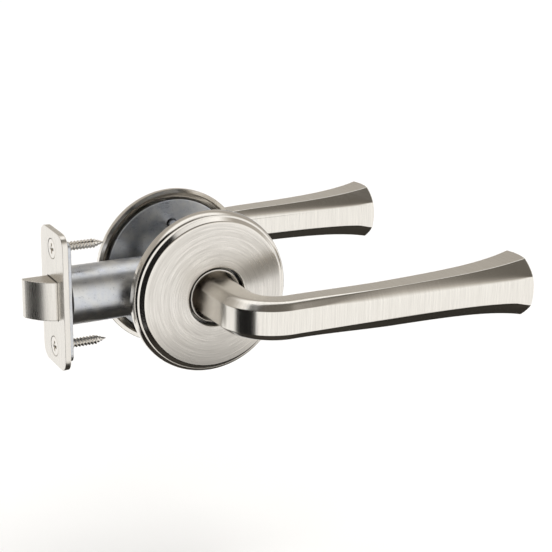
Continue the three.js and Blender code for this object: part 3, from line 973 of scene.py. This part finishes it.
def retaining_ring():
    """A flat spring clip with rounded ends beside its mouth."""
    half_mouth = math.radians(CLIP.mouth / 2)
    steps = 72
    turns = [lerp(half_mouth, 2 * math.pi - half_mouth, i / steps) for i in range(steps + 1)]
    outline = [polar(CLIP.outer, turn) for turn in turns]
    outline += [polar(CLIP.inner, turn) for turn in reversed(turns)]
    return slab(across_y, outline, CLIP.bottom, CLIP.top, 0.12)


def square_tool(bottom, top):
    half = SQUARE_HOLE_HALF
    return block((-half, half), (bottom, top), (-half, half))


def drive_hub():
    corners = [(0, HUB.bottom), (HUB.radius, HUB.bottom), (HUB.radius, HUB.top), (0, HUB.top)]
    barrel = turned(corners, 0.4, SEGMENTS.barrel)
    half, inside_barrel = LUG.half_width, 5
    outline = [(-half, inside_barrel), (half, inside_barrel), (half, LUG.reach), (-half, LUG.reach)]
    lug = slab(across_y, rounded(outline, 0.5), LUG.bottom, HUB.top, 0.2)
    combine("UNION", barrel, lug)
    return combine("DIFFERENCE", barrel, square_tool(HUB.bottom - 1, HUB.top + 1))


def return_spring():
    """Two turns of wire, one leg beside the hub's lug and the other out to the wall of the cup."""
    radius, wire, turns = RETURN_SPRING.radius, RETURN_SPRING.wire, RETURN_SPRING.turns
    start = math.pi / 2 - math.asin((LUG.half_width + wire + GAP) / radius)
    per_turn = 24
    count = turns * per_turn
    points = [around_y(radius, start, RETURN_SPRING.leg_top)]
    for i in range(count + 1):
        height = lerp(RETURN_SPRING.top, RETURN_SPRING.bottom, i / count)
        points.append(around_y(radius, start - 2 * math.pi * i / per_turn, height))
    end = start - (turns + 0.06) * 2 * math.pi
    points.append(around_y(RETURN_SPRING.leg_reach - wire, end, RETURN_SPRING.bottom))
    return sweep(through_points([Vector(point) for point in points], 4), wire)


def set_screw():
    """A threaded grub screw with a hexagon socket, its key end downwards."""
    radius, flat = SET_SCREW.shank, SET_SCREW.key
    corner = flat * 1.155
    bottom = -(SPINDLE_HALF + 0.35) - SET_SCREW.length
    top = bottom + SET_SCREW.length
    thread = thread_rings(SET_SCREW, bottom + 0.15, top - 0.3)
    made = skin([circle(radius - 0.45, bottom), *thread, circle(radius - 0.9, top)])
    hexagon = [(0, bottom - 1), (corner, bottom - 1), (corner, bottom + SET_SCREW.depth), (0, bottom + 1.9)]
    sink = lathe([(0, bottom - 1), (flat * 2, bottom - 1), (0, bottom + 0.55)], SEGMENTS.thread)
    combine("DIFFERENCE", made, lathe(hexagon, 6), sink)
    return moved(made, quarter_turn("X"), Matrix.Translation((0, SET_SCREW.height, 0)))


def post(side):
    """A sleeve with a tapped bore, staked into the outside plate."""
    radius, bore, end, stub, top = POST.radius, POST.bore, POST.end, STUB.radius, STUB.top
    height = POST.bore_end
    profile = [(0, height)]
    while height > end + POST.pitch:
        profile += [(bore, height), (bore - POST.thread, height - POST.pitch / 2)]
        height -= POST.pitch
    profile += [(bore, end + 0.3), (bore + 0.3, end), (radius - 0.4, end), (radius, end + 0.4)]
    profile += [(radius, -GAP - 0.3), (radius - 0.3, -GAP), (stub, -GAP), (stub, top - 0.2)]
    profile += [(stub - 0.2, top), (1.7, top), (1.2, top - 0.4), (0, top - 0.55)]
    return one_of_two(lathe(profile, SEGMENTS.hole), side, BOLT_SPACING)


def through_bolt(side):
    shank, head, end = THROUGH_BOLT.shank, THROUGH_BOLT.head, THROUGH_BOLT.end
    seat = PLATE.thickness + GAP
    top = seat + THROUGH_BOLT.head_height
    rings = [circle(shank - 0.7, end)] + thread_rings(THROUGH_BOLT, end + 0.4, THROUGH_BOLT.thread_end)
    profile = [(shank - 0.1, -5.7), (shank - 0.1, seat), (head - 0.15, seat), (head, seat + 0.15)]
    profile += quadratic((head, top - 1.0), (head - 0.15, top - 0.1), (head - 1.5, top), 7)
    made = skin(rings + [circle(radius, height) for radius, height in profile])
    return one_of_two(cross_recess(made, top, 1.3, 2.1), side, BOLT_SPACING)


# ---------- latch ----------


def window_tool(start, end):
    outline = rounded(rectangle(BOLT.half_width + 0.35, BOLT.half_height + 0.35), 0.7)
    return slab(across_x, outline, start, end, 0)


def latch_plate(plate, start, end, sunk):
    """A plate across the door's edge with the bolt's window and two screw holes."""
    outline = rounded(rectangle(plate.width / 2, plate.height / 2), [plate.corner] * 4, 10)
    tools = [window_tool(start - 1, end + 1)]
    clear = LATCH_SCREW.shank + GAP + 0.1
    slope = (LATCH_SCREW.head + GAP - clear) / LATCH_SCREW.head_depth
    wide = LATCH_SCREW.head + GAP + slope
    cone = [(0, start - 1), (wide, start - 1), (clear, start + LATCH_SCREW.head_depth)]
    cone += [(clear, end - 0.1), (clear + 0.2, end + 0.1), (0, end + 0.1)]
    for side in (-1, 1):
        tool = lathe(cone, SEGMENTS.hole) if sunk else drill(clear, start, end, 0.15)
        tools.append(one_of_two(along_x(tool), side, LATCH_SCREW_SPACING))
    return combine("DIFFERENCE", slab(across_x, outline, start, end, 0.3), *tools)


def latch_screw(side):
    """A countersunk wood screw, its head at the door's edge."""
    shank, head, top = LATCH_SCREW.shank, LATCH_SCREW.head, BACKSET
    thread = thread_rings(LATCH_SCREW, top - LATCH_SCREW.length, top - 6, LATCH_SCREW.point)
    neck = top - LATCH_SCREW.head_depth
    profile = [(shank - 0.3, neck - 3.2), (shank - 0.3, neck - 0.3), (shank, neck)]
    profile += [(head - 0.1, top - 0.2), (head - 0.1, top - 0.05), (head - 0.25, top)]
    made = skin(thread + [circle(radius, height) for radius, height in profile])
    set_grain(cross_recess(made, top, 1.5, 2.2), screw_grain)
    return one_of_two(moved(made, quarter_turn("Z")), side, LATCH_SCREW_SPACING)


def screw_grain(p):
    """Faint marks along a screw, as it comes out of the plating barrel."""
    return (0.25 * p.y, 2 * p.x, 2 * p.z), (0, 0, 1)


def plate_grain(p):
    """Brush marks up and down the latch's faceplate and bolt."""
    return (p.x - p.y, p.z, 0), (0.7, -0.7, 0)


def latch_case():
    """A rolled tube with an end wall, and two flat cheeks that carry the cam."""
    front, back, wall = BACKPLATE_BACK + GAP, CASE.end, CASE.end - CASE.wall
    corners = [(CASE.inner, front), (CASE.outer, front), (CASE.outer, back)]
    corners += [(CASE.rod_hole, back), (CASE.rod_hole, wall), (CASE.inner, wall)]
    bends = [0.2, 0.3, 0.9, 0.2, 0.2, 0.3]
    tube = along_x(lathe(rounded(corners, bends), SEGMENTS.plate))
    inner, outer, half, end, hole = CHEEK.inner, CHEEK.outer, CHEEK.half_height, CHEEK.end, CHEEK.hole
    shape = rounded([(back - 1, -half), (end, -half), (end, half), (back - 1, half)], [0.1, 1.0, 2.4, 0.1], 6)
    parts = [slab(across_y, shape, *sorted((side * inner, side * outer))) for side in (-1, 1)]
    bridge_xs = (end - BRIDGE.thickness, end - 0.05)
    bridge = block(bridge_xs, (-outer + 0.05, outer - 0.05), (-half + 0.9, BRIDGE.top), 0.15)
    combine("UNION", tube, *parts, bridge)
    slot_half = YOKE.half_width + 0.5
    slot_zs = (YOKE_BAR.bottom - 0.5, YOKE_BAR.top + 0.6)
    slot = block((wall - 1, back + 1), (-slot_half, slot_half), slot_zs)
    seam = block((front - 1, wall - 2), (-CASE.seam, CASE.seam), (-CASE.outer - 1, -CASE.outer + 0.35))
    bore_profile = [(0, -outer - 1), (hole, -outer - 1), (hole, outer + 1), (0, outer + 1)]
    bore = lathe(bore_profile, SEGMENTS.barrel)
    return combine("DIFFERENCE", tube, slot, seam, bore)


def latch_bolt():
    """The bevelled head and its rod."""
    nose = -BACKSET - BOLT.throw
    width, back, rod, collar = BOLT.half_width, BOLT.back, BOLT.rod, ROD_COLLAR.radius
    outline = [(back, -width), (back, width), (nose + 0.5, width), (nose + 0.12, width - 0.12)]
    outline.append((nose, width - 0.5))
    bevel_end = (-BACKSET - 0.5, -width)
    outline += quadratic((nose, width - BOLT.nose_width), (nose + 4, -width * 0.6), bevel_end, 18)
    head = slab(across_z, outline, -BOLT.half_height, BOLT.half_height, 0.3)
    corners = [(0, back - 1), (rod, back - 1), (rod, ROD_COLLAR.start), (collar, ROD_COLLAR.start)]
    corners += [(collar, ROD_COLLAR.end), (rod, ROD_COLLAR.end), (rod, BOLT.rod_end), (0, BOLT.rod_end)]
    return combine("UNION", head, along_x(turned(corners)))


def latch_yoke():
    """A bent strip, caught behind the bolt's head, with a hook in front of the cam's arm."""
    front, back, low, high = YOKE.front, YOKE.back, YOKE_BAR.bottom, YOKE_BAR.top
    side_view = [(front, YOKE.bottom), (back, YOKE.bottom), (back, low), (HOOK.back, low)]
    side_view += [(HOOK.back, HOOK.top), (HOOK.front, HOOK.top), (HOOK.front, high), (front, high)]
    bends = [0.2, 0.2, 0.5, 0.9, 0.3, 0.3, 0.4, 1.4]
    made = slab(across_y, rounded(side_view, bends), -YOKE.half_width, YOKE.half_width, 0.12)
    hole = along_x(drill(BOLT.rod + 0.4, front, back, 0.15))
    gap = YOKE_BAR.half_gap
    opening = rounded([(back, -gap), (HOOK.front, -gap), (HOOK.front, gap), (back, gap)], 0.6)
    window = slab(across_z, opening, low - 1, high + 1, 0)
    return combine("DIFFERENCE", made, hole, window)


def latch_cam():
    flange, journal, inner, outer = CAM.flange, CAM.journal, CAM.flange_half, CAM.journal_half
    corners = [(0, -outer), (journal, -outer), (journal, -inner), (flange, -inner)]
    corners += [(radius, -height) for radius, height in reversed(corners)]
    barrel = turned(corners, 0.25, SEGMENTS.barrel)
    tip, reach = CAM_ARM.tip, CAM_ARM.reach
    turns = [math.radians(angle) for angle in range(-90, 91, 10)]
    end = [(reach + tip * math.cos(turn), tip * math.sin(turn)) for turn in turns]
    arm = slab(across_y, [(0, -tip), *end, (0, tip)], -CAM_ARM.half, CAM_ARM.half)
    moved(arm, Matrix.Rotation(-math.radians(90 + CAM_ARM.angle), 4, "Y"))
    combine("UNION", barrel, arm)
    return combine("DIFFERENCE", barrel, square_tool(-outer - 1, outer + 1))


def latch_spring():
    """A compression spring between the bolt's collar and the case's end wall, its end turns closed."""
    radius, wire, turns = LATCH_SPRING.radius, LATCH_SPRING.wire, LATCH_SPRING.turns
    start = ROD_COLLAR.end + GAP + wire
    end = CASE.end - CASE.wall - GAP - wire
    closing = 0.055
    count = turns * 36
    path = []
    for i in range(count + 1):
        share = i / count
        eased = share - closing * math.sin(4 * math.pi * share) / (2 * math.pi) * 4
        turn = share * turns * 2 * math.pi
        path.append((lerp(start, end, eased), *polar(radius, turn)))
    return sweep(path, wire, 12)


def spindle():
    square = rounded(rectangle(SPINDLE_HALF, SPINDLE_HALF), 0.35, 3)
    return slab(across_y, square, -SPINDLE_LENGTH / 2, SPINDLE_LENGTH / 2, 0.5)


# ---------- pieces in their places ----------


def wind_up(made):
    """Bakes a return spring's place into its mesh."""
    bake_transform(made)


def build_half(side, zinc, spring, black, nylon):
    bolt_hole = STUB.radius + GAP if side == "outside" else THROUGH_BOLT.shank + 0.45
    pieces = [
        ("spring_cover", spring_cover(), zinc),
        ("mounting_plate", mounting_plate(bolt_hole), zinc),
        ("neck_bush", neck_bush(), nylon),
        ("retaining_ring", retaining_ring(), spring),
        ("drive_hub", drive_hub(), zinc),
        ("return_spring", return_spring(), spring),
        ("set_screw", set_screw(), black),
    ]
    for name, made, material in pieces:
        winds = name == "return_spring"
        add_piece(f"{side}_{name}", on_door(made, side), [material], rides=not winds)
        if winds:
            wind_up(made)


def build_shared(zinc, spring, plate_nickel, polished):
    for place, side in (("upper", 1), ("lower", -1)):
        add_piece(f"{place}_post", on_door(post(side), "outside"), [zinc])
        add_piece(f"{place}_through_bolt", on_door(through_bolt(side), "inside"), [zinc])
        add_piece(f"{place}_latch_screw", latch_screw(side), [polished])
    faceplate = latch_plate(FACEPLATE, -BACKSET, FACE_BACK, True)
    add_piece("latch_faceplate", set_grain(faceplate, plate_grain), [plate_nickel])
    add_piece("latch_bolt", set_grain(latch_bolt(), plate_grain), [plate_nickel])
    backplate = latch_plate(BACKPLATE, FACE_BACK + GAP, BACKPLATE_BACK, False)
    add_piece("latch_backplate", backplate, [zinc])
    add_piece("latch_case", latch_case(), [zinc])
    add_piece("latch_yoke", latch_yoke(), [zinc])
    add_piece("latch_cam", latch_cam(), [zinc])
    coil = add_piece("latch_spring", latch_spring(), [spring])
    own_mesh(coil)
    add_piece("spindle", spindle(), [zinc])


# ---------- studio ----------

VIEW = Sizes(azimuth=-30.5, elevation=18.69, roll=1.72, distance=604, right=50.6, up=0.57)
SENSOR = 36
FRAME_SHARE = 0.93

# The sky as (elevation in degrees, brightness) stops, on the far side and on the near side.
SKY_BEHIND = [(-90, 0.05), (-46, 0.015), (-41, 0.95), (-4, 1.0), (10, 0.46)]
SKY_BEHIND += [(30, 0.40), (43, 0.38), (50, 0.62), (60, 1.2), (90, 1.0)]
SKY_BEFORE = [(-90, 0.05), (-46, 0.012), (-42, 0.012), (-40, 0.72), (-33, 0.88), (-24, 1.0)]
SKY_BEFORE += [(22, 1.0), (34, 0.80), (44, 0.42), (54, 0.14), (90, 0.10)]
SKY_STRENGTH = 1.16
# Two dark panels in that sky: where each starts, is full, starts to fade and ends, in degrees.
FLAG = Sizes(heading=(-36.5, -34, 9, 11.5), elevation=(-62, -57, 63, 71))
STRIP = Sizes(heading=(118, 121, 144, 147), elevation=(-50, -45, 4, 12), darkness=0.7)
PANEL_TONE = (0.012, 0.012, 0.012)

KEY_LIGHT = Sizes(strength=1.7, softness=50, tilt=(12, 10, 0))
FLOOR_HALF = 3.0
FLOOR_DROP = 0.12


def camera_axes():
    """The photograph's view: right, up and backwards directions."""
    azimuth, elevation, roll = (math.radians(angle) for angle in (VIEW.azimuth, VIEW.elevation, VIEW.roll))
    flat = math.cos(elevation)
    back = Vector((math.sin(azimuth) * flat, -math.cos(azimuth) * flat, math.sin(elevation)))
    level_right = Vector((math.cos(azimuth), math.sin(azimuth), 0))
    level_up = back.cross(level_right)
    right = level_right * math.cos(roll) + level_up * math.sin(roll)
    return right, back.cross(right), back


def add_camera():
    """The camera stands where the photograph's stood, and is aimed so that the whole set is in the middle."""
    right, up, back = camera_axes()
    place = Vector((0, -DOOR_HALF, 0)) + back * VIEW.distance + right * VIEW.right + up * VIEW.up
    place *= MM
    seen = []
    for node in frame["nodes"].values():
        for vertex in node.data.vertices:
            ray = vertex.co - place
            depth = -ray.dot(back)
            seen.append((ray.dot(right) / depth, ray.dot(up) / depth))
    low = [min(s[k] for s in seen) for k in range(2)]
    high = [max(s[k] for s in seen) for k in range(2)]
    middle = [(a + b) / 2 for a, b in zip(low, high)]
    wide, tall = high[0] - low[0], high[1] - low[1]
    backward = (back - right * middle[0] - up * middle[1]).normalized()
    sideways = up.cross(backward).normalized()
    upward = backward.cross(sideways)
    camera = bpy.data.objects.new("camera", bpy.data.cameras.new("camera"))
    SCENE.collection.objects.link(camera)
    SCENE.camera = camera
    camera.data.lens = SENSOR * FRAME_SHARE / max(wide, tall)
    camera.data.sensor_width = SENSOR
    camera.data.clip_start = 0.01
    camera.data.clip_end = 50
    turn = Matrix((sideways, upward, backward)).transposed().to_4x4()
    camera.matrix_world = Matrix.Translation(place) @ turn


def sky_stop(elevation, brightness):
    """A ramp's stop. Its place is 0 straight down and 1 straight up, and darker parts are warmer."""
    warmth = 1 - min(1, brightness)
    colour = (brightness * (1 + 0.10 * warmth), brightness, brightness * (1 - 0.14 * warmth))
    return (math.sin(math.radians(elevation)) + 1) / 2, colour


def dark_panel(s, heading, z, edges):
    """1 on the panel and 0 off it, with soft edges."""
    start, full, fading, end = (math.radians(angle) for angle in edges.heading)
    bottom, above, below, top = (math.sin(math.radians(angle)) for angle in edges.elevation)
    across = s.times(s.smooth(heading, start, full), s.smooth(heading, fading, end, 1.0, 0.0))
    return s.times(s.times(across, s.smooth(z, bottom, above)), s.smooth(z, below, top, 1.0, 0.0))


def add_studio():
    """A soft studio as the metal sees it: light from above and from low walls, and two dark panels."""
    world = bpy.data.worlds.new("studio")
    SCENE.world = world
    world.use_nodes = True
    s = Shader(world.node_tree)
    direction = s.node("ShaderNodeTexCoord").outputs["Generated"]
    x, y, z = s.node("ShaderNodeSeparateXYZ", {0: direction}).outputs
    height = s.node("ShaderNodeMath", {0: z, 1: 0.5, 2: 0.5}, operation="MULTIPLY_ADD").outputs[0]
    behind = s.ramp(height, [sky_stop(*stop) for stop in SKY_BEHIND])
    before = s.ramp(height, [sky_stop(*stop) for stop in SKY_BEFORE])
    sky = s.mix(s.smooth(y, -0.15, -0.05), before, behind)
    heading = s.math("ARCTAN2", y, s.times(x, -1.0))
    strip = s.times(dark_panel(s, heading, z, STRIP), STRIP.darkness)
    panels = s.mix(s.math("MAXIMUM", dark_panel(s, heading, z, FLAG), strip), sky, PANEL_TONE)
    light = s.node("ShaderNodeBackground", {"Color": panels, "Strength": SKY_STRENGTH}).outputs[0]
    backdrop = s.node("ShaderNodeBackground", {"Color": (1, 1, 1), "Strength": 1.0}).outputs[0]
    seen = s.node("ShaderNodeLightPath").outputs["Is Camera Ray"]
    shown = s.node("ShaderNodeMixShader", {0: seen, 1: light, 2: backdrop}).outputs[0]
    s.node("ShaderNodeOutputWorld", {0: shown})


def add_key_light():
    """A wide soft light from above, for the floor and its shadow. The metal is lit by the studio round it."""
    lamp = bpy.data.lights.new("overhead", "SUN")
    lamp.angle = math.radians(KEY_LIGHT.softness)
    lamp.energy = KEY_LIGHT.strength
    key = bpy.data.objects.new("overhead", lamp)
    SCENE.collection.objects.link(key)
    key.rotation_euler = [math.radians(angle) for angle in KEY_LIGHT.tilt]
    key.visible_glossy = False


def add_floor():
    mesh = bpy.data.meshes.new("floor")
    corners = [(x, y, cad_box[0].z - FLOOR_DROP) for x, y in rectangle(FLOOR_HALF, FLOOR_HALF)]
    mesh.from_pydata(corners, [], [(0, 1, 2, 3)])
    floor = bpy.data.objects.new("floor", mesh)
    SCENE.collection.objects.link(floor)
    floor.visible_glossy = False
    material, s = new_material("pale_floor")
    mottle = s.noise(s.node("ShaderNodeTexCoord").outputs["Object"], 6.0, 3.0)
    base = s.mix(mottle, (0.93, 0.93, 0.925), (0.95, 0.95, 0.945))
    finish_material(s, base, 0.8, mottle, (0.02, 1.0), 0.0)
    mesh.materials.append(material)


# ---------- assembly ----------

SCENE.view_settings.view_transform = "Standard"
cast_nickel = brushed_nickel("brushed_cast_nickel", CAST_TONES, 0.18, 0.2, paints_neck_shade=True)
spun_nickel = brushed_nickel("spun_nickel", SPUN_TONES, 0.29, 0.85)
plate_nickel = brushed_nickel("brushed_plate_nickel", CAST_TONES, 0.27, 0.5)
polished = polished_nickel()
zinc = plated_steel()
spring = spring_wire()
black = black_oxide()
nylon = moulded_nylon()
for side in ("outside", "inside"):
    build_lever(side, cast_nickel)
    build_rose(side, spun_nickel, polished)
    build_half(side, zinc, spring, black, nylon)
build_shared(zinc, spring, plate_nickel, polished)
add_camera()
add_studio()
add_key_light()
add_floor()
